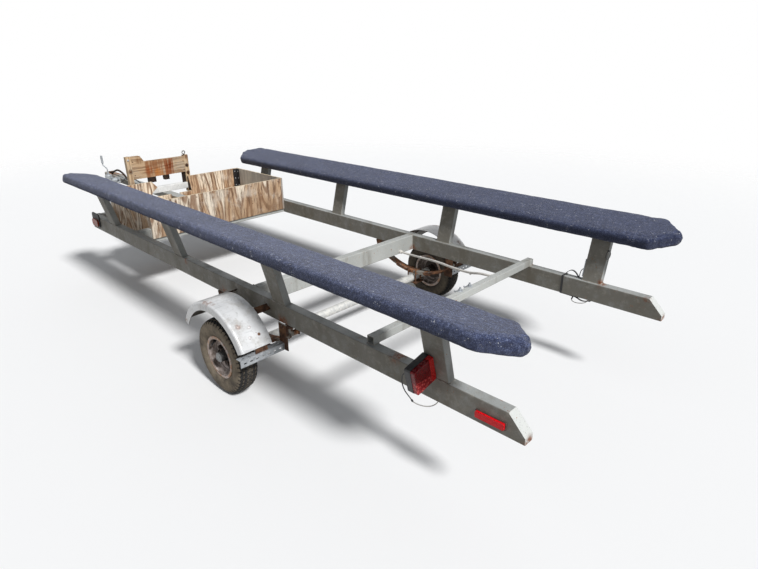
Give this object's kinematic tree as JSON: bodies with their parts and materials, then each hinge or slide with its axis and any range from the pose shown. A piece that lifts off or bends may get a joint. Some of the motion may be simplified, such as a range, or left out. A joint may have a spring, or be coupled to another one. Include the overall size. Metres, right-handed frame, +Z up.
{
  "type": "boat trailer",
  "caption": "Road trailer for a small boat: steel frame on sprung wheels with fenders, carpeted bunks, a plywood box, timber bow stop, coupler and jack.",
  "frame": {"origin": "middle of the trailer's length and width, on the ground", "axes": "+X forwards to the coupler, +Y to the left side, +Z up"},
  "size_m": [5.201, 1.86, 0.889],
  "materials": {
    "galvanised": "dull weathered zinc",
    "painted_frame": "weathered grey paint",
    "rusty_steel": "rusted",
    "bunk_carpet": "faded blue ribbed outdoor carpet",
    "timber": "weathered bare wood",
    "plywood": "weathered plywood",
    "fender_paint": "scratched silver-white paint with rust spots",
    "wheel_paint": "worn off-white paint",
    "tyre": "dusty rubber",
    "hub_metal": "greasy cast steel",
    "black_plastic": "matt",
    "red_lens": "faded gloss",
    "amber_lens": "faded gloss",
    "white_plastic": "matt",
    "white_tube": "chalky white paint"
  },
  "bodies": {
    "chassis": {"rail_left": "painted_frame", "rail_right": "painted_frame", "crossmember_middle": "painted_frame", "crossmember_front": "painted_frame", "crossmember_nose": "painted_frame", "cross_tube_rear": "painted_frame", "posts_left": "painted_frame", "posts_right": "painted_frame", "bunk_left": "bunk_carpet", "bunk_right": "bunk_carpet", "axle": "galvanised", "leaf_springs": "rusty_steel", "spring_hangers": "rusty_steel", "axle_clamps": "rusty_steel", "fender_left": "fender_paint", "fender_right": "fender_paint", "fender_arms": "rusty_steel", "fender_struts": "galvanised", "strut_plates": "rusty_steel", "tongue": "painted_frame", "coupler": "rusty_steel", "coupler_latch": "rusty_steel", "jack_bracket": "galvanised", "stop_crossbar": "white_tube", "stop_upright_left": "timber", "stop_upright_right": "timber", "stop_board": "timber", "stop_fittings": "rusty_steel", "box_rear": "plywood", "box_front": "plywood", "box_sides": "plywood", "box_floor": "plywood", "box_bracket": "black_plastic", "tail_lamps": "black_plastic", "tail_lenses": "red_lens", "lamp_plates": "galvanised", "side_markers": "red_lens", "front_markers": "amber_lens", "marker_bases": "black_plastic", "conduit": "white_plastic", "conduit_glands": "white_plastic"},
    "wheel_left": {"hub_left": "hub_metal", "rim_left": "wheel_paint", "tyre_left": "tyre"},
    "wheel_right": {"hub_right": "hub_metal", "rim_right": "wheel_paint", "tyre_right": "tyre"},
    "jack": {"jack_tube": "galvanised", "jack_crank": "galvanised"},
    "jack_leg": {"jack_leg": "galvanised"}
  },
  "joints": [
    {"name": "wheel_left_spin", "type": "hinge", "parent": "chassis", "child": "wheel_left", "pos_m": [-0.9755, 0.843, 0.205], "axis": [0, 1, 0], "continuous": true},
    {"name": "wheel_right_spin", "type": "hinge", "parent": "chassis", "child": "wheel_right", "pos_m": [-0.9755, -0.843, 0.205], "axis": [0, 1, 0], "continuous": true},
    {"name": "jack_swing", "type": "hinge", "parent": "chassis", "child": "jack", "pos_m": [2.2435, 0.122, 0.5374], "axis": [0, 1, 0], "range_deg": [0, 90]},
    {"name": "jack_leg_slide", "type": "slide", "parent": "jack", "child": "jack_leg", "axis": [0, 0, 1], "range_m": [-0.08, 0.12]}
  ]
}
